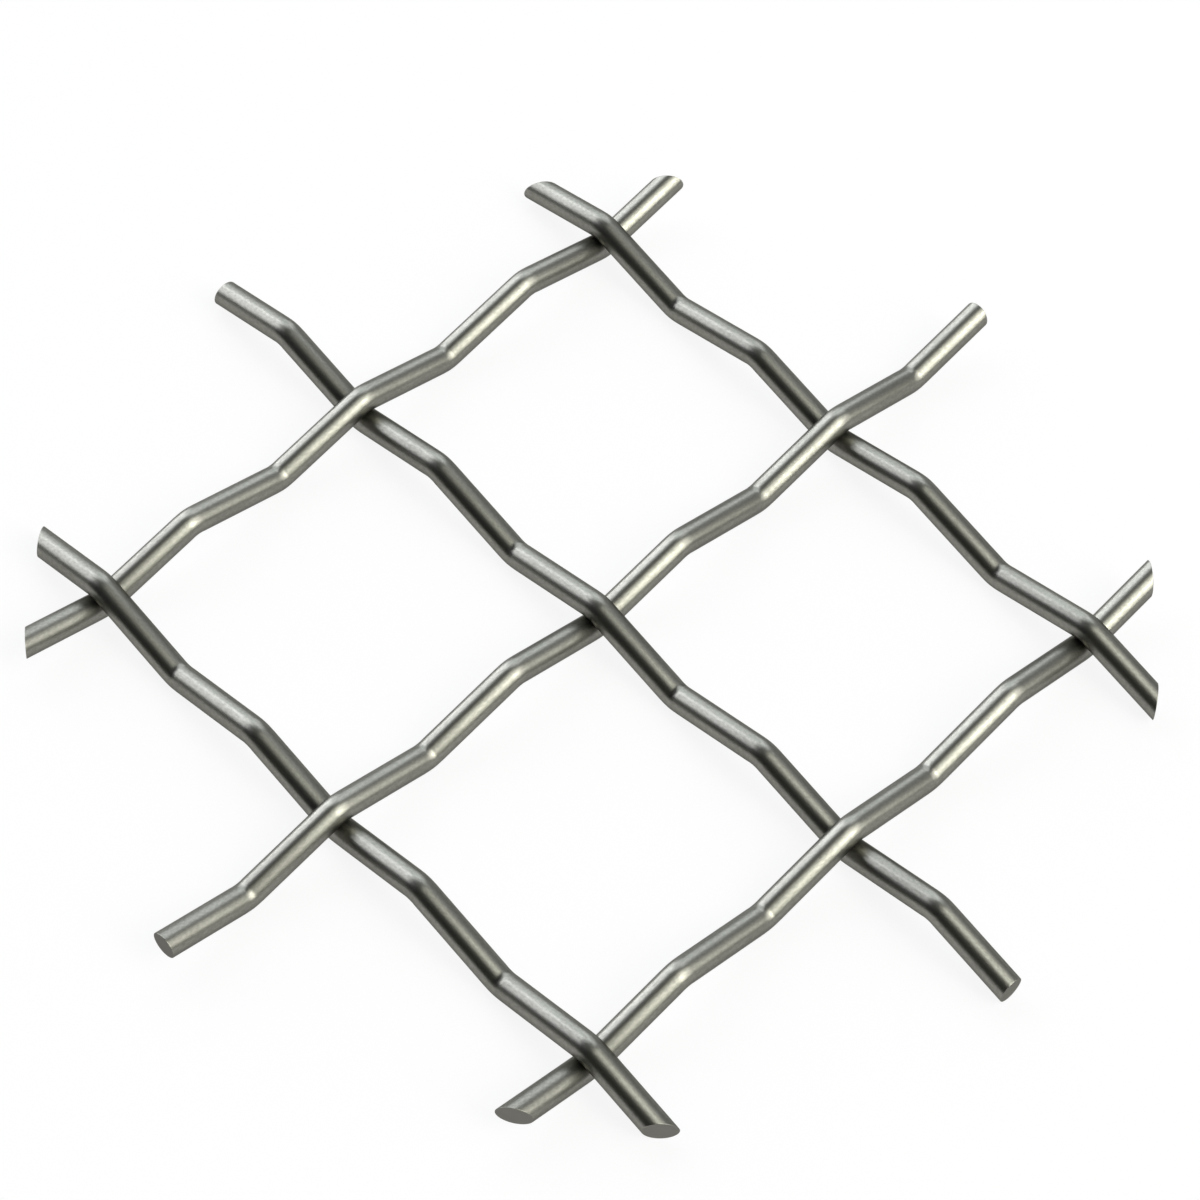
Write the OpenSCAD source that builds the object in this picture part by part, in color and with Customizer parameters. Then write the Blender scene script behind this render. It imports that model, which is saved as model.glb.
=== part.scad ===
// Decorative grille sheet: a round-cut sample of intercrimp woven wire.
// Round wires cross at right angles in a plain weave. Each wire is crimped at every crossing and
// twice more between crossings, so that its neighbours lock it in place without a weld.
// Millimetres, +Z up. The origin is on the surface that the sheet lies on, under its middle.

/* [Weave] */
// Clear width of a square opening, from wire to wire
opening = 38.1; // [24:0.1:76]
// Diameter of the round wire
wire_d = 3.43; // [2:0.01:5]
// Number of wires that run each way
wires_each_way = 3; // [2:1:5]

/* [Crimp] */
// Crimps from one crossing to the next, the one at the crossing included
crimps_per_pitch = 3; // [1:2:5]
// How much thinner the wire is drawn where it is bent
bend_thinning = 0.02; // [0.02:0.01:0.1]
// Clearance left between two crossing wires of full diameter
seat_gap = 0.01; // [0:0.01:0.1]
// How much wider a bend is inside than the wire that sits in it, measured on the radius
bend_ease = 0.1; // [0:0.05:1]

/* [Sample] */
// How far outside the corner crossings the round sample is cut
corner_margin = 8.6; // [4:0.1:40]

/* [Hidden] */
$fn = 96;
steel = [0.60, 0.59, 0.55];

WARP_NAME = "warp_wire_";
WEFT_NAME = "weft_wire_";

pitch = opening + wire_d;
crimp_step = pitch / crimps_per_pitch;
outermost = (wires_each_way - 1) / 2 * pitch;
cut_r = norm([outermost, outermost]) + corner_margin;

// Diameter of the wire in its bends, and how far a run reaches into the thinner bend at each end
bend_d = wire_d - bend_thinning;
lap = 0.1;

// Half the height that a wire's centre line rises and falls, with crossing wires seated on each other
rise = (wire_d + seat_gap) / 2;
sheet_thickness = 2 * rise + bend_d;
middle = sheet_thickness / 2;

// Bend radius of the centre line, and the steepness and length of the straight run between two bends.
// The run is the line that touches two neighbouring bend circles, one from above and one from below.
bend_r = wire_d + seat_gap + bend_ease;
centre_rise = 2 * (bend_r - rise);
centre_distance = norm([crimp_step, centre_rise]);
slope = asin(2 * bend_r / centre_distance) - atan2(centre_rise, crimp_step);
run_length = sqrt(centre_distance ^ 2 - (2 * bend_r) ^ 2);

// Place of wire k of a family, which is also the place of crossing k along a wire of the other family
function line_at(k) = (k - 1) * pitch - outermost;

// Number of crimp steps from the outermost crossing to the cut end, for a wire that lies at offset y
function steps_beyond(y) =
    let (nearest_side = max(0, abs(y) - wire_d / 2))
    let (cut_at = sqrt(cut_r ^ 2 - nearest_side ^ 2))
    ceil((cut_at - outermost) / crimp_step);

// One bend of a wire along X, with its crown above the middle plane where side is 1, or below it
module bend(side) {
    mirror([0, 0, side > 0 ? 0 : 1])
        translate([0, 0, rise - bend_r])
            rotate([90, 0, 0])
                rotate([0, 0, 90 - slope])
                    rotate_extrude(angle = 2 * slope)
                        translate([bend_r, 0])
                            circle(d = bend_d);
}

// The straight run that leaves that bend towards +X and ends at the next bend
module run(side) {
    mirror([0, 0, side > 0 ? 0 : 1])
        translate([bend_r * sin(slope), 0, rise - bend_r * (1 - cos(slope))])
            rotate([0, 90 + slope, 0])
                translate([0, 0, -lap])
                    cylinder(d = wire_d, h = run_length + 2 * lap);
}

// Wire k of a family that runs along X. It passes over its first crossing where first_side is 1
module crimped_wire(k, first_side) {
    beyond = steps_beyond(line_at(k));
    last = (wires_each_way - 1) * crimps_per_pitch + beyond;
    intersection() {
        translate([-outermost, line_at(k), middle])
            for (m = [-beyond : last]) {
                side = first_side * (m % 2 == 0 ? 1 : -1);
                translate([m * crimp_step, 0, 0]) {
                    bend(side);
                    if (m < last) run(side);
                }
            }
        cylinder(r = cut_r, h = 3 * sheet_thickness, center = true);
    }
}

// A warp wire runs along X. Neighbours start on opposite sides of the sheet
module warp_wire(k) {
    color(steel)
        crimped_wire(k, k % 2 == 1 ? 1 : -1);
}

// A weft wire runs along Y, on the other side of the sheet from the warp wire at each crossing
module weft_wire(k) {
    color(steel)
        mirror([1, -1, 0])
            crimped_wire(k, k % 2 == 1 ? -1 : 1);
}

for (k = [1 : wires_each_way]) {
    warp_wire(k);
    weft_wire(k);
}
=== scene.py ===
# %% [markdown]
# # A woven wire grille sheet
#
# The object is a sample of grille sheet, cut round. Three steel wires run one way and three the
# other, over and under each other, and every wire is crimped into a zigzag so that the weave locks.
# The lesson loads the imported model, sweeps each wire again as a finely divided tube, gives it the
# satin finish of drawn steel, and lights it on a white floor as the product photograph does.

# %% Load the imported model
import math

import bmesh
import bpy
from mathutils import Matrix, Vector


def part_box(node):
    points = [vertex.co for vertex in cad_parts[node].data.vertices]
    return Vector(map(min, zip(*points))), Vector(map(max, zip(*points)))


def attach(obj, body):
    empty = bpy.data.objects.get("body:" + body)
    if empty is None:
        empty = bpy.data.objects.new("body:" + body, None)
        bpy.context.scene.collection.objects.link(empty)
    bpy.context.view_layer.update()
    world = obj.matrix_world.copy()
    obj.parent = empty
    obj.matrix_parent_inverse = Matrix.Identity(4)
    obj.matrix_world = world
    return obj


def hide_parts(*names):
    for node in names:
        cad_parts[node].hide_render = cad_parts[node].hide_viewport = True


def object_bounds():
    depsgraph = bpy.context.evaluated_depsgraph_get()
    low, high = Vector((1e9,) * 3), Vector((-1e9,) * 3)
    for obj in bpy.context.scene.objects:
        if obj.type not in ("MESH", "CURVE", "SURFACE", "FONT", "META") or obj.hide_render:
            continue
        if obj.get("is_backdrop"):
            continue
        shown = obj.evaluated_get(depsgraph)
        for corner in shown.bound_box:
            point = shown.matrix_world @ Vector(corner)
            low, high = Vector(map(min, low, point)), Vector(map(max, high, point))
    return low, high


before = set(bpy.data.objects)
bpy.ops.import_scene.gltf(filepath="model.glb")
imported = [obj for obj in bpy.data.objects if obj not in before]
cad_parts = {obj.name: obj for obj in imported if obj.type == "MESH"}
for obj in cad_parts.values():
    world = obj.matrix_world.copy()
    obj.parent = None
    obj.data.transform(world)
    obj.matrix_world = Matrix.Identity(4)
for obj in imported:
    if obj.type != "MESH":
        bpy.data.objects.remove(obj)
cad_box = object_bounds()
print("packed nodes:", ", ".join(sorted(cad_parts)))

# %% [markdown]
# ## The sizes of the weave
#
# A weave has few real sizes: the wire, the clear opening, and how the wire is crimped. Everything
# else follows from them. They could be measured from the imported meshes, but written out as a weaver
# would give them they can be read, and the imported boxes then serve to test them. Lengths are metres.

# %% Sizes
MM = 0.001
OPENING = 38.1 * MM
WIRE_D = 3.43 * MM
BEND_D = 3.41 * MM
RISE = 1.72 * MM
BEND_R = 3.54 * MM
CRIMPS_PER_PITCH = 3
CORNER_MARGIN = 8.6 * MM

PITCH = OPENING + WIRE_D
STEP = PITCH / CRIMPS_PER_PITCH
CUT_R = math.hypot(PITCH, PITCH) + CORNER_MARGIN
MIDDLE = RISE + BEND_D / 2
CENTRE_RISE = 2 * (BEND_R - RISE)
CENTRE_DISTANCE = math.hypot(STEP, CENTRE_RISE)
SLOPE = math.asin(2 * BEND_R / CENTRE_DISTANCE) - math.atan2(CENTRE_RISE, STEP)
RUN = math.sqrt(CENTRE_DISTANCE**2 - (2 * BEND_R) ** 2)

print(f"pitch {PITCH / MM:.2f} mm, cut radius {CUT_R / MM:.2f} mm")
print(f"slope {math.degrees(SLOPE):.2f} degrees, straight run {RUN / MM:.2f} mm")
low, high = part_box("warp_wire_2")
print(f"the packed middle wire reaches {high.x / MM:.2f} mm")
print(f"its middle height is {(low.z + high.z) / 2 / MM:.3f} mm")

# %% [markdown]
# ## The centre line
#
# On a real sheet each wire is pressed between toothed rolls, so it lies in one upright plane and
# bends at even steps, up and down by turns. A curve with a bevel could be swept along a polyline,
# but its corners would be sharp or uneven. Here each bend is an arc that hugs the crossing wire,
# and each run is the straight line that touches two arcs, so the tube stays round all along. In its
# bends the wire is a hair thinner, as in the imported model, and it has its full size just beyond.

# %% Centre line of one wire
BEND_PARTS = 14
EASE_IN = 0.25 * MM


def centre_line(offset, middle_side):
    """Rings of a wire from its first bend to its last: how far along, x, height, lean, radius, bend.

    The bend is 1 in the middle of a low bend, -1 in the middle of a high one and 0 on the runs."""
    inner_cut = math.sqrt(CUT_R**2 - (abs(offset) + WIRE_D / 2) ** 2)
    last = int((inner_cut - BEND_R * math.sin(SLOPE)) / STEP)
    rings, along = [], 0.0
    for knot in range(-last, last + 1):
        side = middle_side if knot % 2 == 0 else -middle_side
        for part in range(BEND_PARTS + 1):
            turn = SLOPE * (2 * part / BEND_PARTS - 1)
            x = knot * STEP + BEND_R * math.sin(turn)
            z = side * (RISE - BEND_R * (1 - math.cos(turn)))
            bend = -side * math.cos(0.5 * math.pi * turn / SLOPE)
            rings.append((along + BEND_R * (turn + SLOPE), x, z, -side * turn, BEND_D / 2, bend))
        along += 2 * BEND_R * SLOPE
        if knot == last:
            break
        lean = -side * SLOPE
        for t in (EASE_IN, RUN / 2, RUN - EASE_IN):
            run_x = x + t * math.cos(lean)
            run_z = z + t * math.sin(lean)
            rings.append((along + t, run_x, run_z, lean, WIRE_D / 2, 0.0))
        along += RUN
    return rings


for offset in (0, PITCH):
    rings = centre_line(offset, 1)
    reach = rings[-1][1] / MM
    print(f"{offset / MM:.1f} mm off the middle: {len(rings)} rings, the last at {reach:.2f} mm")

# %% [markdown]
# ## The cut ends
#
# The sample is cut from the woven sheet along a circle, so each wire's end follows that circle and
# is slanted on most wires. A boolean cut would leave long thin faces there. Instead every lengthwise
# line of the tail is carried on to the circle by itself, and the end face is laid in rings across it.
# A few rings just inside the rim round the edge a little, as a cutting wheel leaves it.

# %% Tails and cut faces
AROUND = 72
ANGLES = [2 * math.pi * i / AROUND for i in range(AROUND)]
EDGE_BREAK = 0.05 * MM
EDGE_PARTS = 4
CAP_SHARES = (0.93, 0.75, 0.5, 0.25)
CAP_ROWS = len(CAP_SHARES)


def around(ring, angle, radius):
    """Point of a ring in the wire's own plane: x along, y across, z up."""
    _, x, z, lean, _, _ = ring
    out = radius * math.cos(angle)
    return Vector((x - out * math.sin(lean), radius * math.sin(angle), z + out * math.cos(lean)))


def tail_row(ring, sign, offset, share, inset, back):
    """A row of points carried along the straight tail towards the cutting circle."""
    lean = ring[3]
    way = Vector((math.cos(lean), 0, math.sin(lean))) * sign
    row = []
    for angle in ANGLES:
        start = around(ring, angle, WIRE_D / 2 - inset)
        reach = math.sqrt(CUT_R**2 - (offset + start.y) ** 2)
        length = (reach - abs(start.x)) / math.cos(lean) * share - back
        row.append((start + way * length, ring[0] + sign * length, angle, 0.0))
    return row


def tail_rows(ring, sign, offset):
    """Rows from the last bend to the centre of the cut face."""
    radius = WIRE_D / 2
    way = Vector((math.cos(ring[3]), 0, math.sin(ring[3]))) * sign
    along = ring[0] + sign * EASE_IN
    rows = [[(around(ring, angle, radius) + way * EASE_IN, along, angle, 0.0) for angle in ANGLES]]
    rows.append(tail_row(ring, sign, offset, 0.5, 0, 0))
    rows.append(tail_row(ring, sign, offset, 1, 0, 3 * EDGE_BREAK))
    for part in range(EDGE_PARTS + 1):
        turn = math.pi / 2 * part / EDGE_PARTS
        inset = EDGE_BREAK * (1 - math.cos(turn))
        back = EDGE_BREAK * (1 - math.sin(turn))
        rows.append(tail_row(ring, sign, offset, 1, inset, back))
    for share in CAP_SHARES:
        rows.append(tail_row(ring, sign, offset, 1, radius * (1 - share), 0))
    return rows


tail = tail_rows(centre_line(0, 1)[-1], 1, 0)
print(f"a tail has {len(tail)} rows of {AROUND} points, {CAP_ROWS} of them across the cut face")

# %% [markdown]
# ## The skin laid flat
#
# Other programs show the steel from baked images, and an image needs a flat plan of the wire's skin.
# Blender can unwrap a tube by itself, but a zigzag comes out in many scraps. Here the skin is slit
# along the underside, where a seam is seen least, and cut into four strips that fill the image. The
# two cut faces lie beside them as small discs.

# %% Places in the bake image
STRIPS = 4
STRIP_SPARE = RUN / 4
STRIP_LEFT = 0.02
STRIP_SPAN = 0.86
STRIP_GAP = 0.04
DISC_COLUMN = 0.945
DISC_SCALE = 0.024 / MM
FIRST_DISC = 0.25
LAST_DISC = 0.75


def strip_place(along, step, middle, start, end):
    """Place of a point of the skin, in the strip where the middle of its face lies."""
    length = (end - start) / STRIPS
    strip = min(STRIPS - 1, int((middle - start) / length))
    share = (along - start - strip * length + STRIP_SPARE) / (length + 2 * STRIP_SPARE)
    height = STRIP_GAP + (1 - 2 * STRIP_GAP) * step / AROUND
    return STRIP_LEFT + STRIP_SPAN * share, (strip + height) / STRIPS


def cap_place(point, row, is_last):
    """Place of a point on a cut face, in the column beside the strips."""
    middle = sum(place[0].z for place in row) / AROUND
    disc = LAST_DISC if is_last else FIRST_DISC
    return DISC_COLUMN + DISC_SCALE * point.y, disc + DISC_SCALE * (point.z - middle)


print(f"{STRIPS} strips, each with {STRIP_SPARE / MM:.1f} mm to spare at both ends")

# %% [markdown]
# ## From rows to faces
#
# The rows of points, from one cut face to the other, become one closed skin when each is joined to
# the next by a band of faces, and each end is closed by a fan. Blender's bridge tool can join rings,
# but it chooses by itself which points meet. Here points of one angle meet, so the edges run along
# the wire, and each corner is given its place in the bake image at once.

# %% Rows and faces of one wire
def wire_rows(offset, middle_side):
    """All rows of a wire. Each point comes with how far along, its angle and the bend."""
    rings = centre_line(offset, middle_side)
    rows = list(reversed(tail_rows(rings[0], -1, offset)))
    for ring in rings:
        rows.append([(around(ring, angle, ring[4]), ring[0], angle, ring[5]) for angle in ANGLES])
    return rows + tail_rows(rings[-1], 1, offset)


def add_face(bm, corners, is_cut):
    """A smooth face with the wire's first material or, on a cut end, its second."""
    face = bm.faces.new(corners)
    face.smooth = True
    face.material_index = 1 if is_cut else 0
    return face


def add_bands(bm, strips, made, rows):
    """Joins each row of vertices to the next one."""
    start = min(place[1] for place in rows[CAP_ROWS])
    end = max(place[1] for place in rows[-1 - CAP_ROWS])
    for index in range(len(made) - 1):
        near, far = made[index], made[index + 1]
        is_cut = min(index, len(made) - 2 - index) < CAP_ROWS
        middle = (rows[index][0][1] + rows[index + 1][0][1]) / 2
        for i in range(AROUND):
            j = (i + 1) % AROUND
            face = add_face(bm, (near[i], near[j], far[j], far[i]), is_cut)
            from_slit = (i + AROUND // 2) % AROUND
            corners = ((index, 0), (index, 1), (index + 1, 1), (index + 1, 0))
            for loop, (row, step) in zip(face.loops, corners):
                point, along, _, _ = rows[row][(i + step) % AROUND]
                if is_cut:
                    loop[strips].uv = cap_place(point, rows[row], index > CAP_ROWS)
                else:
                    loop[strips].uv = strip_place(along, from_slit + step, middle, start, end)


def add_fan(bm, strips, made_row, row, centre, point, is_last):
    """Closes the middle of a cut face with triangles round its centre."""
    for i in range(AROUND):
        j = (i + 1) % AROUND
        face = add_face(bm, (made_row[i], made_row[j], centre), True)
        for loop, place in zip(face.loops, (row[i][0], row[j][0], point)):
            loop[strips].uv = cap_place(place, row, is_last)


row_count = len(wire_rows(0, 1))
print("a middle wire has", row_count, "rows and gets", (row_count + 1) * AROUND, "faces")

# %% [markdown]
# ## The swept wire
#
# A real wire is one solid bar, and its mesh is one closed skin. A curve with a round bevel would be
# quicker, but it can't end on a slanted face or keep values for the materials. Two are kept at each
# vertex here: its place round and along the wire, and how hard the crimping rolls pressed there,
# which they do on the inner side of each bend.

# %% Mesh of one wire
def wire_mesh(name, family, offset, middle_side):
    """A closed, swept wire. Warp wires run along X, weft wires along Y."""
    rows = wire_rows(offset, middle_side)
    bm = bmesh.new()
    lines = bm.verts.layers.float_vector.new("wire_lines")
    pressed = bm.verts.layers.float.new("tooth_print")
    strips = bm.loops.layers.uv.new("OFBake")

    def vertex(point, along, angle, bend):
        x, y, z = point.x, offset + point.y, MIDDLE + point.z
        v = bm.verts.new((x, y, z) if family == "warp" else (y, x, z))
        v[lines] = (math.cos(angle) * WIRE_D / 2, math.sin(angle) * WIRE_D / 2, along)
        v[pressed] = max(0.0, bend * math.cos(angle))
        return v

    made = [[vertex(*place) for place in row] for row in rows]
    add_bands(bm, strips, made, rows)
    for end in (0, -1):
        point = sum((place[0] for place in rows[end]), Vector()) / AROUND
        centre = vertex(point, rows[end][0][1], 0, 0)
        add_fan(bm, strips, made[end], rows[end], centre, point, end == -1)
    bmesh.ops.recalc_face_normals(bm, faces=bm.faces)
    mesh = bpy.data.meshes.new(name)
    bm.to_mesh(mesh)
    bm.free()
    wire = bpy.data.objects.new(name, mesh)
    bpy.context.scene.collection.objects.link(wire)
    return wire


print("kept in each mesh: wire_lines, tooth_print and the map OFBake")

# %% [markdown]
# ## The six wires
#
# In a plain weave each wire goes over one neighbour and under the next, and the wire beside it does
# the opposite. Six wires could be placed by hand, but one rule does it without a slip: a warp wire's
# middle crossing is high on every second wire, and a weft wire's is low where the warp's is high.
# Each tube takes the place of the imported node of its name.

# %% Weave
wires = []
for family, first_side in (("warp", -1), ("weft", 1)):
    for number in (1, 2, 3):
        offset = (number - 2) * PITCH
        middle_side = first_side if number != 2 else -first_side
        wire = wire_mesh(f"{family}_steel_wire_{number}", family, offset, middle_side)
        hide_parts(f"{family}_wire_{number}")
        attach(wire, "root")
        wires.append(wire)
        print(wire.name, len(wire.data.polygons), "faces")

# %% [markdown]
# ## Helpers for materials
#
# A material is a small graph of nodes. Written out in full, each node takes several lines. A few
# helpers keep the next cells short: they add a node and set its values, set the ends of a range,
# make a node group with named sockets, which several materials can share, and begin a material.

# %% Node helpers
def add(tree, kind, at, **values):
    """A node. The values are its settings or, by name, its inputs."""
    node = tree.nodes.new(kind)
    node.location = at
    for key, value in values.items():
        if hasattr(node, key):
            setattr(node, key, value)
        else:
            node.inputs[key.replace("_", " ").title()].default_value = value
    return node


def span(node, ends, low, high):
    """Sets the ends, From or To, of a Map Range node."""
    node.inputs[f"{ends} Min"].default_value = low
    node.inputs[f"{ends} Max"].default_value = high


def new_group(name, inputs, outputs):
    """A shader node group. inputs are (name, default), outputs are (name, socket kind)."""
    tree = bpy.data.node_groups.new(name, "ShaderNodeTree")
    for label, value in inputs:
        socket = tree.interface.new_socket(label, in_out="INPUT", socket_type="NodeSocketFloat")
        socket.default_value = value
    for label, kind in outputs:
        tree.interface.new_socket(label, in_out="OUTPUT", socket_type=kind)
    return tree, add(tree, "NodeGroupInput", (-900, 0)), add(tree, "NodeGroupOutput", (700, 0))


def place_group(tree, group, at, **values):
    """A group put into a material, with its own values."""
    node = add(tree, "ShaderNodeGroup", at, node_tree=group)
    for key, value in values.items():
        node.inputs[key.replace("_", " ").capitalize()].default_value = value
    return node


def new_material(name):
    """An empty material with a Principled BSDF."""
    material = bpy.data.materials.new(name)
    material.use_nodes = True
    tree = material.node_tree
    tree.nodes.clear()
    surface = add(tree, "ShaderNodeBsdfPrincipled", (900, 0), distribution="GGX")
    result = add(tree, "ShaderNodeOutputMaterial", (1200, 0))
    tree.links.new(surface.outputs["BSDF"], result.inputs["Surface"])
    return material, tree, surface


print("helpers ready")

# %% [markdown]
# ## Draw lines
#
# Wire gets its gloss by being pulled through a die, which leaves fine lines along its length. Noise
# in the object's own space would run straight through the bends. This group reads the coordinates
# kept on the vertices instead, squeezed lengthwise, so the streaks follow every crimp. It gives a
# fine and a broad pattern, and is used twice: for the long lines and for a short grain.

# %% Group: draw lines
BROAD_SHARE = 0.22

draw_lines, given, gives = new_group(
    "draw_lines",
    [("Lines per mm", 6.0), ("Streak length mm", 30.0)],
    [("Height", "NodeSocketFloat"), ("Tone", "NodeSocketFloat")],
)
place = add(draw_lines, "ShaderNodeAttribute", (-900, 300), attribute_name="wire_lines")
parts = add(draw_lines, "ShaderNodeSeparateXYZ", (-700, 300))
shorter = add(draw_lines, "ShaderNodeMath", (-700, 0), operation="MULTIPLY")
squeezed = add(draw_lines, "ShaderNodeMath", (-500, 100), operation="DIVIDE")
stretched = add(draw_lines, "ShaderNodeCombineXYZ", (-300, 300))
per_metre = add(draw_lines, "ShaderNodeMath", (-500, -150), operation="MULTIPLY")
per_metre.inputs[1].default_value = 1 / MM
fine = add(draw_lines, "ShaderNodeTexNoise", (-100, 300), detail=3.0, roughness=0.6)
broad_scale = add(draw_lines, "ShaderNodeMath", (-300, -300), operation="MULTIPLY")
broad_scale.inputs[1].default_value = BROAD_SHARE
broad = add(draw_lines, "ShaderNodeTexNoise", (-100, -200), detail=2.0, roughness=0.5)
links = draw_lines.links
links.new(place.outputs["Vector"], parts.inputs[0])
links.new(given.outputs["Streak length mm"], shorter.inputs[0])
links.new(given.outputs["Lines per mm"], shorter.inputs[1])
links.new(parts.outputs["Z"], squeezed.inputs[0])
links.new(shorter.outputs[0], squeezed.inputs[1])
links.new(parts.outputs["X"], stretched.inputs["X"])
links.new(parts.outputs["Y"], stretched.inputs["Y"])
links.new(squeezed.outputs[0], stretched.inputs["Z"])
links.new(given.outputs["Lines per mm"], per_metre.inputs[0])
links.new(per_metre.outputs[0], fine.inputs["Scale"])
links.new(per_metre.outputs[0], broad_scale.inputs[0])
links.new(broad_scale.outputs[0], broad.inputs["Scale"])
for noise in (fine, broad):
    links.new(stretched.outputs[0], noise.inputs["Vector"])
links.new(fine.outputs["Fac"], gives.inputs["Height"])
links.new(broad.outputs["Fac"], gives.inputs["Tone"])
print("draw_lines:", len(draw_lines.nodes), "nodes")

# %% [markdown]
# ## Mill film
#
# Bare steel is never quite even: a breath of drawing soap and handling leaves soft clouds a few
# millimetres wide. Painted spots would look dirty at this scale. A soft noise in object space, laid
# lightly over the tone, breaks up the highlights just enough. The wire and its cut faces share it.

# %% Group: mill film
mill_film, given, gives = new_group(
    "mill_film",
    [("Clouds per m", 150.0)],
    [("Cloud", "NodeSocketFloat")],
)
place = add(mill_film, "ShaderNodeTexCoord", (-500, 0))
cloud = add(mill_film, "ShaderNodeTexNoise", (-200, 0), detail=4.0, roughness=0.55)
mill_film.links.new(place.outputs["Object"], cloud.inputs["Vector"])
mill_film.links.new(given.outputs["Clouds per m"], cloud.inputs["Scale"])
mill_film.links.new(cloud.outputs["Fac"], gives.inputs["Cloud"])
print("mill_film:", len(mill_film.nodes), "nodes")

# %% [markdown]
# ## Tooth prints
#
# The toothed rolls that crimp the wire press on the inner side of each bend and burnish it a little.
# Dents would show in the outline, which the real wire keeps round. So the print is only a mask: the
# pressure kept at each vertex, its border made uneven by the film, for the steel's colour and gloss.

# %% Group: tooth print
PRINT_STARTS = 1.05
PRINT_FULL = 1.45

tooth_print, given, gives = new_group(
    "tooth_print",
    [("Cloud", 0.5)],
    [("Print", "NodeSocketFloat")],
)
pressure = add(tooth_print, "ShaderNodeAttribute", (-900, 200), attribute_name="tooth_print")
uneven = add(tooth_print, "ShaderNodeMath", (-500, 100), operation="ADD")
border = add(tooth_print, "ShaderNodeMapRange", (-200, 100), interpolation_type="SMOOTHSTEP")
span(border, "From", PRINT_STARTS, PRINT_FULL)
tooth_print.links.new(pressure.outputs["Fac"], uneven.inputs[0])
tooth_print.links.new(given.outputs["Cloud"], uneven.inputs[1])
tooth_print.links.new(uneven.outputs[0], border.inputs["Value"])
tooth_print.links.new(border.outputs["Result"], gives.inputs["Print"])
print("tooth_print:", len(tooth_print.nodes), "nodes")

# %% [markdown]
# ## Drawn steel
#
# The wire is bare steel with a satin face: broad soft highlights, dark stripes between them and a
# darker rim. A flat grey would do from far off. Up close the long draw lines, a short grain and the
# film show, so the three are summed into one tone, which then drives both colour and gloss.

# %% Material: drawn steel
RIM_TINT = (0.4, 0.4, 0.4, 1)
GRAIN_SHARE = 2.0
LINE_SHARE = 0.5

drawn_steel, tree, surface = new_material("drawn_steel")
surface.inputs["Metallic"].default_value = 1.0
surface.inputs["Specular Tint"].default_value = RIM_TINT
lines = place_group(tree, draw_lines, (-900, 200), lines_per_mm=6.0, streak_length_mm=30.0)
grain = place_group(tree, draw_lines, (-900, 0), lines_per_mm=3.5, streak_length_mm=0.45)
film = place_group(tree, mill_film, (-900, -200), clouds_per_m=150.0)
prints = place_group(tree, tooth_print, (-500, -300))
streaks = add(tree, "ShaderNodeMath", (-500, 200), operation="MULTIPLY_ADD")
streaks.inputs[1].default_value = GRAIN_SHARE
tone = add(tree, "ShaderNodeMath", (-300, 0), operation="MULTIPLY_ADD")
tone.inputs[1].default_value = LINE_SHARE
tree.links.new(grain.outputs["Height"], streaks.inputs[0])
tree.links.new(film.outputs["Cloud"], streaks.inputs[2])
tree.links.new(lines.outputs["Tone"], tone.inputs[0])
tree.links.new(streaks.outputs[0], tone.inputs[2])
tree.links.new(film.outputs["Cloud"], prints.inputs["Cloud"])
print("drawn_steel:", len(tree.nodes), "nodes up to its tone")

# %% [markdown]
# ## The steel's colour
#
# A metal's look is its reflections, so the colour is close to neutral and a little warm. One grey
# with a colour ramp over it could do this too. Two greys with a factor between them are easier to
# read: the tone goes from the dark one to the light one, and the tooth prints are a shade darker.

# %% Colour of the drawn steel
STEEL_LIGHT = (0.269, 0.266, 0.237, 1)
STEEL_DARK = (0.174, 0.171, 0.152, 1)
STEEL_PRESSED = (0.188, 0.185, 0.166, 1)
TONE_LOW = 1.15
TONE_HIGH = 2.35

shade = add(tree, "ShaderNodeMapRange", (-100, 200))
span(shade, "From", TONE_LOW, TONE_HIGH)
steel = add(tree, "ShaderNodeMix", (200, 400), data_type="RGBA")
steel.inputs["A"].default_value = STEEL_DARK
steel.inputs["B"].default_value = STEEL_LIGHT
colour = add(tree, "ShaderNodeMix", (500, 300), data_type="RGBA")
colour.inputs["B"].default_value = STEEL_PRESSED
tree.links.new(tone.outputs[0], shade.inputs["Value"])
tree.links.new(shade.outputs["Result"], steel.inputs["Factor"])
tree.links.new(steel.outputs["Result"], colour.inputs["A"])
tree.links.new(prints.outputs["Print"], colour.inputs["Factor"])
tree.links.new(colour.outputs["Result"], surface.inputs["Base Color"])
print(f"steel from {STEEL_DARK[0]} to {STEEL_LIGHT[0]} in red")

# %% [markdown]
# ## The steel's gloss
#
# The roughness sets how far each lamp spreads on the wire. The die leaves bright streaks smoother
# than dull ones, and the rolls burnish their prints, so tone and print move it a little. The lines
# could be cut into the mesh, but they are far finer than its faces. A shallow bump is enough.

# %% Gloss and relief of the drawn steel
DULL_ROUGHNESS = 0.38
BRIGHT_ROUGHNESS = 0.31
PRESSED_ROUGHNESS = 0.3
LINE_DEPTH = 0.01 * MM
LINE_STRENGTH = 0.15

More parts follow.
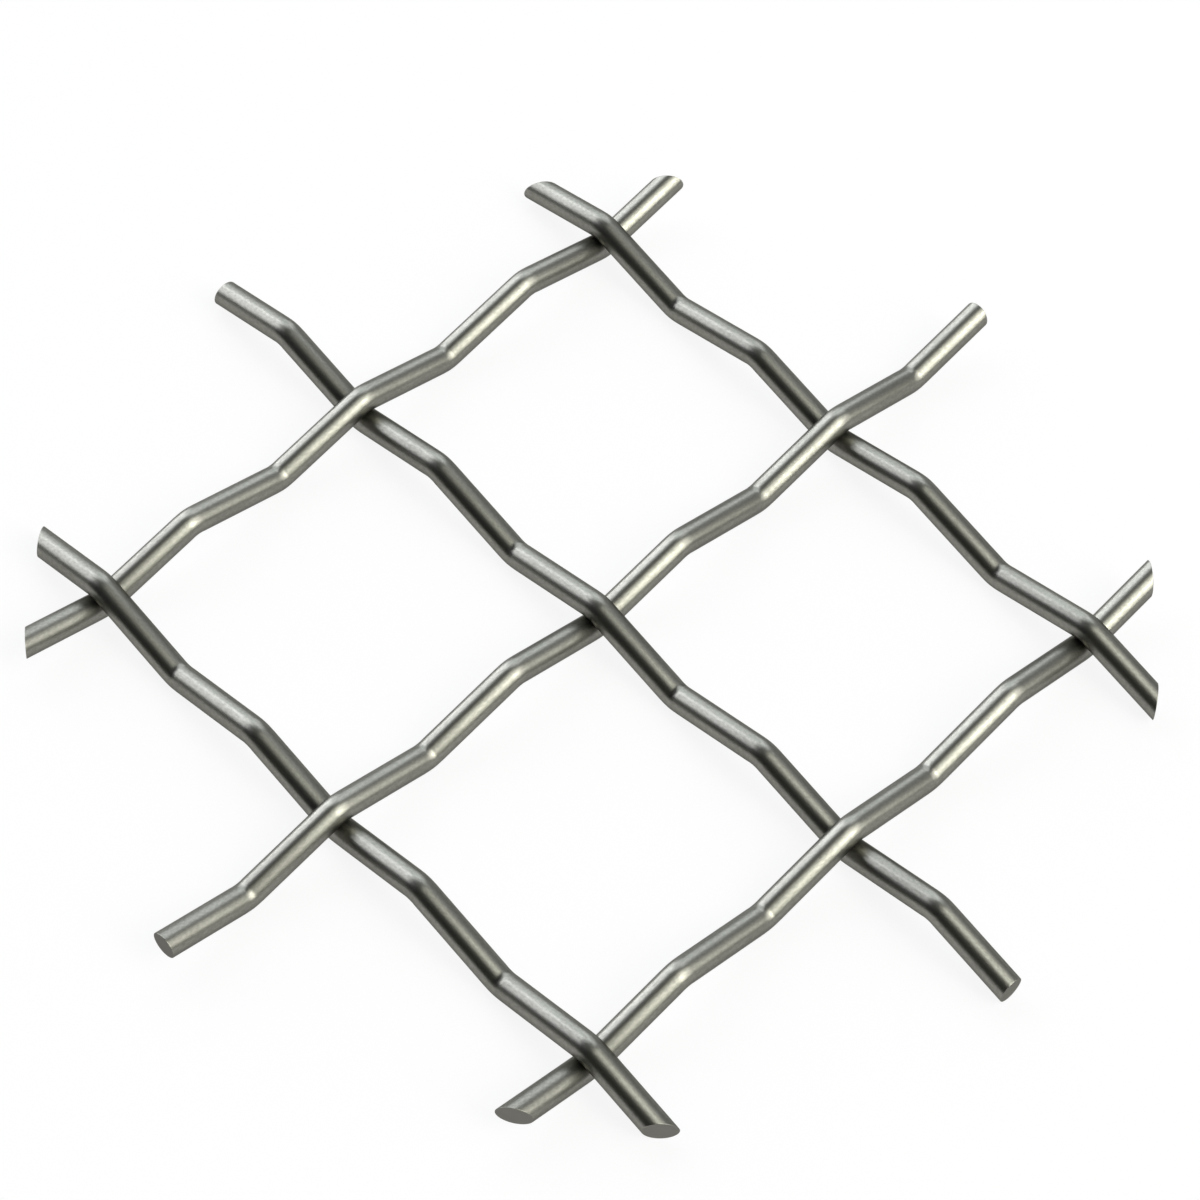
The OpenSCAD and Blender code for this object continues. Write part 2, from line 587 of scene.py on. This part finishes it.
gloss = add(tree, "ShaderNodeMapRange", (200, 0))
span(gloss, "From", TONE_LOW, TONE_HIGH)
span(gloss, "To", DULL_ROUGHNESS, BRIGHT_ROUGHNESS)
burnish = add(tree, "ShaderNodeMix", (500, 0), data_type="FLOAT")
burnish.inputs["B"].default_value = PRESSED_ROUGHNESS
ridges = add(tree, "ShaderNodeMath", (200, -300), operation="ADD")
bump = add(tree, "ShaderNodeBump", (500, -300))
bump.inputs["Strength"].default_value = LINE_STRENGTH
bump.inputs["Distance"].default_value = LINE_DEPTH
tree.links.new(tone.outputs[0], gloss.inputs["Value"])
tree.links.new(gloss.outputs["Result"], burnish.inputs["A"])
tree.links.new(prints.outputs["Print"], burnish.inputs["Factor"])
tree.links.new(burnish.outputs["Result"], surface.inputs["Roughness"])
tree.links.new(lines.outputs["Height"], ridges.inputs[0])
tree.links.new(grain.outputs["Height"], ridges.inputs[1])
tree.links.new(ridges.outputs[0], bump.inputs["Height"])
tree.links.new(bump.outputs["Normal"], surface.inputs["Normal"])
print("drawn_steel:", len(tree.nodes), "nodes")

# %% [markdown]
# ## Cut faces
#
# A cutting wheel leaves a duller face than a die: no long streaks, only short scratches across it,
# and an even grey. A plain rough metal would do at a distance. Here a noise that is stretched level
# stands for the wheel's scratches, with the same film over it as on the wire.

# %% Material: cut steel
CUT_DARK = (0.205, 0.2, 0.18, 1)
CUT_LIGHT = (0.245, 0.238, 0.214, 1)
CUT_ROUGHEST = 0.62
CUT_SMOOTHEST = 0.5
SCRATCHES_PER_M = (600, 600, 9000)
SCRATCH_DEPTH = 0.02 * MM
SCRATCH_STRENGTH = 0.25

cut_steel, tree, surface = new_material("cut_steel")
surface.inputs["Metallic"].default_value = 1.0
surface.inputs["Specular Tint"].default_value = RIM_TINT
film = place_group(tree, mill_film, (-600, -200), clouds_per_m=400.0)
place = add(tree, "ShaderNodeTexCoord", (-900, 200))
level = add(tree, "ShaderNodeMapping", (-700, 200))
level.inputs["Scale"].default_value = SCRATCHES_PER_M
scratch = add(tree, "ShaderNodeTexNoise", (-400, 200), scale=1.0, detail=3.0)
colour = add(tree, "ShaderNodeMix", (200, 200), data_type="RGBA")
colour.inputs["A"].default_value = CUT_DARK
colour.inputs["B"].default_value = CUT_LIGHT
gloss = add(tree, "ShaderNodeMapRange", (200, -100))
span(gloss, "To", CUT_ROUGHEST, CUT_SMOOTHEST)
bump = add(tree, "ShaderNodeBump", (500, -300))
bump.inputs["Strength"].default_value = SCRATCH_STRENGTH
bump.inputs["Distance"].default_value = SCRATCH_DEPTH
tree.links.new(place.outputs["Object"], level.inputs["Vector"])
tree.links.new(level.outputs["Vector"], scratch.inputs["Vector"])
tree.links.new(film.outputs["Cloud"], colour.inputs["Factor"])
tree.links.new(colour.outputs["Result"], surface.inputs["Base Color"])
tree.links.new(scratch.outputs["Fac"], gloss.inputs["Value"])
tree.links.new(gloss.outputs["Result"], surface.inputs["Roughness"])
tree.links.new(scratch.outputs["Fac"], bump.inputs["Height"])
tree.links.new(bump.outputs["Normal"], surface.inputs["Normal"])

for wire in wires:
    wire.data.materials.append(drawn_steel)
    wire.data.materials.append(cut_steel)
print("materials on", len(wires), "wires")

# %% [markdown]
# ## The floor
#
# The sheet lies on white ground with no edge in sight. A studio often uses a bent paper sweep, but
# its rise would be mirrored in the wires. One flat square, much wider than the lamps stand apart,
# gives the same empty white.

# %% Floor
FLOOR_HALF = 6.0

signs = ((-1, -1), (1, -1), (1, 1), (-1, 1))
mesh = bpy.data.meshes.new("studio_floor")
mesh.from_pydata([(x * FLOOR_HALF, y * FLOOR_HALF, 0) for x, y in signs], [], [(0, 1, 2, 3)])
floor = bpy.data.objects.new("studio_floor", mesh)
bpy.context.scene.collection.objects.link(floor)
floor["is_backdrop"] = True
print(f"floor laid, {2 * FLOOR_HALF:.0f} m wide")

# %% [markdown]
# ## White that isn't lit
#
# The photograph shows the sheet on pure white. Flooding the set with light would bleach the steel
# too. The floor's material is mostly a plain white glow for rays that come from the camera or from
# shiny metal, and partly a lit matt surface, which keeps a faint shadow.

# %% Material: white floor
GLOW_SHARE = 0.9
GLOW_STRENGTH = 0.98
MATT_WHITE = (0.8, 0.8, 0.8, 1)

white_floor = bpy.data.materials.new("white_floor")
white_floor.use_nodes = True
tree = white_floor.node_tree
tree.nodes.clear()
paths = add(tree, "ShaderNodeLightPath", (-700, 200))
either = add(tree, "ShaderNodeMath", (-500, 200), operation="MAXIMUM")
any_seen = add(tree, "ShaderNodeMath", (-300, 200), operation="MAXIMUM")
share = add(tree, "ShaderNodeMath", (-100, 200), operation="MULTIPLY")
share.inputs[1].default_value = GLOW_SHARE
matt = add(tree, "ShaderNodeBsdfDiffuse", (-100, 0))
matt.inputs["Color"].default_value = MATT_WHITE
glow = add(tree, "ShaderNodeEmission", (-100, -200))
glow.inputs["Color"].default_value = (1, 1, 1, 1)
glow.inputs["Strength"].default_value = GLOW_STRENGTH
blend = add(tree, "ShaderNodeMixShader", (200, 0))
result = add(tree, "ShaderNodeOutputMaterial", (400, 0))
tree.links.new(paths.outputs["Is Camera Ray"], either.inputs[0])
tree.links.new(paths.outputs["Is Glossy Ray"], either.inputs[1])
tree.links.new(either.outputs[0], any_seen.inputs[0])
tree.links.new(paths.outputs["Is Transmission Ray"], any_seen.inputs[1])
tree.links.new(any_seen.outputs[0], share.inputs[0])
tree.links.new(share.outputs[0], blend.inputs["Fac"])
tree.links.new(matt.outputs[0], blend.inputs[1])
tree.links.new(glow.outputs[0], blend.inputs[2])
tree.links.new(blend.outputs[0], result.inputs["Surface"])
floor.data.materials.append(white_floor)
print("white_floor:", len(tree.nodes), "nodes")

# %% [markdown]
# ## Lamps
#
# The highlights on the wires tell where the lamps stood: large softboxes low on the left, behind on
# the left and on the right, with a brighter core and a strip in the right one. Point lamps would give
# hard glints on round steel. Area lamps stand well away, turned to the sheet, and the room between
# them stays dark for the dark stripes. A weak lamp in front is for the views from the other sides.

# %% Softboxes
LAMP_DISTANCE = 2.5


def softbox(name, azimuth, elevation, half_width, half_height, radiance, colour):
    """A rectangular lamp that looks at the sheet. Angles are degrees, as seen from the sheet."""
    a, e = math.radians(azimuth), math.radians(elevation)
    away = Vector((math.cos(e) * math.cos(a), math.cos(e) * math.sin(a), math.sin(e)))
    side = Vector((-math.sin(a), math.cos(a), 0))
    up = away.cross(side)
    lamp = bpy.data.lights.new(name, "AREA")
    lamp.shape = "RECTANGLE"
    lamp.size = 2 * LAMP_DISTANCE * math.tan(math.radians(half_width))
    lamp.size_y = 2 * LAMP_DISTANCE * math.tan(math.radians(half_height))
    lamp.energy = radiance * math.pi * lamp.size * lamp.size_y
    lamp.color = colour
    box = bpy.data.objects.new(name, lamp)
    turn = Matrix((side, up, away)).transposed()
    box.matrix_world = Matrix.Translation(away * LAMP_DISTANCE + Vector((0, 0, MIDDLE))) @ turn.to_4x4()
    bpy.context.scene.collection.objects.link(box)
    box.visible_camera = False
    print(f"{name}: {lamp.size:.2f} x {lamp.size_y:.2f} m, {lamp.energy:.1f} W")


# Name, azimuth, elevation, half width and half height in degrees, radiance, colour
SOFTBOXES = (
    ("left_softbox", 189.0, 24.5, 23.3, 23.5, 3.15, (0.98, 1.0, 1.07)),
    ("left_low_softbox", 169.7, 7.3, 15.0, 6.8, 3.6, (0.98, 1.0, 1.07)),
    ("back_left_softbox", 142.2, 36.3, 26.0, 27.0, 2.15, (0.94, 1.0, 1.045)),
    ("back_softbox", 96.0, 30.0, 28.2, 29.6, 0.41, (0.97, 1.0, 1.03)),
    ("right_softbox", 31.8, 37.2, 23.3, 27.2, 2.33, (1.0, 1.0, 0.95)),
    ("right_high_softbox", 14.8, 53.3, 14.1, 21.9, 3.4, (1.0, 1.01, 0.94)),
    ("right_strip", 12.8, 31.8, 6.3, 19.5, 5.2, (0.99, 1.0, 0.89)),
    ("overhead_panel", 7.3, 81.0, 22.4, 7.9, 0.96, (0.98, 1.0, 0.92)),
    ("front_fill", -35.0, 24.0, 16.0, 12.0, 1.2, (1.0, 1.0, 0.95)),
)
for row in SOFTBOXES:
    softbox(*row)

# %% [markdown]
# ## The dark room
#
# Between the softboxes the wires mirror the studio itself, which is nearly black. A black world would
# lose the last of the form there, and an image of a room would bring in light that the photograph
# doesn't show. A plain, very dim white is enough.

# %% World
ROOM_LIGHT = 0.005

world = bpy.data.worlds.new("dark_room")
bpy.context.scene.world = world
world.use_nodes = True
world.node_tree.nodes["Background"].inputs["Color"].default_value = (1, 1, 1, 1)
world.node_tree.nodes["Background"].inputs["Strength"].default_value = ROOM_LIGHT
print("room light", ROOM_LIGHT)

# %% [markdown]
# ## Camera
#
# The photograph was taken from above one corner with a long lens. Guessing such a view by eye drifts
# in scale and tilt, so the crossings were matched to it: the angle round the sheet, the height, a
# slight roll, the distance, the point looked at and the lens. The frame is square, 1200 pixels wide.

# %% Camera
AZIMUTH, ELEVATION, ROLL = (math.radians(v) for v in (41.008, 55.685, 5.767))
DISTANCE = 10.644 * PITCH
LOOK_AT = Vector((-1.315 * MM, 1.888 * MM, MIDDLE + 0.026 * MM))
SENSOR_MM = 36
LENS_PIXELS = 3696.29
FRAME_PIXELS = 1200

back = Vector(
    (
        math.sin(AZIMUTH) * math.cos(ELEVATION),
        -math.cos(AZIMUTH) * math.cos(ELEVATION),
        math.sin(ELEVATION),
    )
)
level_right = Vector((math.cos(AZIMUTH), math.sin(AZIMUTH), 0))
level_up = back.cross(level_right)
right = math.cos(ROLL) * level_right + math.sin(ROLL) * level_up
up = math.cos(ROLL) * level_up - math.sin(ROLL) * level_right
lens = bpy.data.cameras.new("camera")
lens.sensor_width = SENSOR_MM
lens.lens = SENSOR_MM * LENS_PIXELS / FRAME_PIXELS
lens.clip_start, lens.clip_end = 0.01, 50
camera = bpy.data.objects.new("camera", lens)
turn = Matrix((right, up, back)).transposed()
camera.matrix_world = Matrix.Translation(LOOK_AT + back * DISTANCE) @ turn.to_4x4()
bpy.context.scene.collection.objects.link(camera)
bpy.context.scene.camera = camera
bpy.context.scene.view_settings.view_transform = "Standard"
print(f"lens {lens.lens:.1f} mm at {DISTANCE:.3f} m")

# %% [markdown]
# ## Sizes against the imported model
#
# The looks mustn't change the object's size, and a picture wouldn't show a tenth of a millimetre.
# Every vertex could be tested, but for wires swept by rule their outer box tells enough. The box of
# the imported model was kept at the start, and is written down here beside the box of the wires.

# %% Check the sizes
made_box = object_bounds()
made = made_box[0][:] + made_box[1][:]
packed = cad_box[0][:] + cad_box[1][:]
print("boxes differ by", [round((m - p) / MM, 3) for m, p in zip(made, packed)], "mm")
